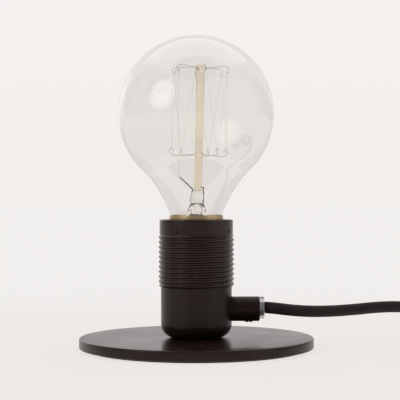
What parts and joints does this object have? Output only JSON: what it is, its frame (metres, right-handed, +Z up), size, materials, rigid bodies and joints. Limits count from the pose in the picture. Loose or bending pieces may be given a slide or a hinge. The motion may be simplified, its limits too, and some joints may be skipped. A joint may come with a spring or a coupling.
{
  "type": "bare bulb table lamp",
  "caption": "Table lamp with a round steel foot, a threaded metal lampholder on a smooth cup, a side cord outlet and a bare clear globe bulb.",
  "frame": {"origin": "middle of the foot, on the surface that the lamp stands on", "axes": "+Z up along the lamp's axis, +X towards the cord outlet"},
  "size_m": [0.3316, 0.1235, 0.1607],
  "materials": {
    "black_coat": "fine matte powder coat, dark brown-black",
    "pad": "soft foam rubber",
    "zinc_steel": "zinc-plated steel",
    "brass": "plain brass, slightly dulled",
    "cap_brass": "drawn brass, lightly rolled",
    "bronze": "spring bronze",
    "clear_plastic": "clear moulded nylon",
    "ceramic": "white glazed ceramic",
    "textile": "dark braided textile over round cable",
    "wire_insulation": "coloured wire insulation",
    "solder": "tin solder",
    "black_glass": "opaque black glass",
    "clear_glass": "clear blown glass, very light smoke",
    "stem_glass": "clear lead-free stem glass",
    "rod_glass": "pale yellow glass rod",
    "support_wire": "dull nickel and molybdenum wire",
    "filament": "thin drawn filament",
    "switch_plastic": "finely textured black plastic",
    "rocker_plastic": "smooth black plastic",
    "plug_plastic": "black moulded plastic",
    "pin_metal": "nickel-plated brass"
  },
  "bodies": {
    "stand": {"base_pad": "pad", "base_plate": "black_coat", "base_nut": "zinc_steel", "lock_washer": "zinc_steel", "base_nipple": "brass", "lower_cap": "black_coat", "outlet_tube": "black_coat", "outlet_nut": "brass", "clamp_screw": "black_coat", "cord_grip": "clear_plastic", "upper_shell": "black_coat", "socket_insert": "ceramic", "screw_shell": "brass", "shell_rivets": "zinc_steel", "contact_spring": "bronze", "contact_screw": "zinc_steel", "neutral_screw": "zinc_steel", "terminal_live": "brass", "terminal_neutral": "brass", "terminal_screws": "zinc_steel", "inner_cord": "textile", "conductors": "wire_insulation", "cord_lead": "textile", "switch_base": "switch_plastic", "switch_cover": "switch_plastic", "switch_screws": "zinc_steel", "switch_contacts": "brass", "cord_link": "textile", "cord_coil": "textile", "cord_tail": "textile", "plug_body": "plug_plastic", "plug_sleeve": "plug_plastic", "plug_pins": "pin_metal", "pin_sleeves": "plug_plastic"},
    "bulb_contact": {"solder_contact": "solder"},
    "bulb": {"cap_shell": "cap_brass", "cap_insulator": "black_glass", "bulb_glass": "clear_glass", "stem_flare": "stem_glass", "glass_rod": "rod_glass", "upper_supports": "support_wire", "lower_supports": "support_wire", "filament": "filament", "lead_wires": "support_wire"},
    "rocker": {"switch_rocker": "rocker_plastic"}
  },
  "joints": [
    {"name": "bulb_rise", "type": "slide", "parent": "stand", "child": "bulb_contact", "axis": [0, 0, 1], "range_m": [0, 0.01272]},
    {"name": "bulb_unscrew", "type": "hinge", "parent": "bulb_contact", "child": "bulb", "pos_m": [0, 0, 0.0684], "axis": [0, 0, 1], "range_deg": [0, 1260]},
    {"name": "rocker_tip", "type": "hinge", "parent": "stand", "child": "rocker", "pos_m": [0.189, 0.047, 0.0132], "axis": [0, 1, 0], "range_deg": [0, 14]}
  ],
  "couplings": [
    {"joint": "bulb_rise", "follows": "bulb_unscrew", "m_per_rad": 0.00057773}
  ]
}
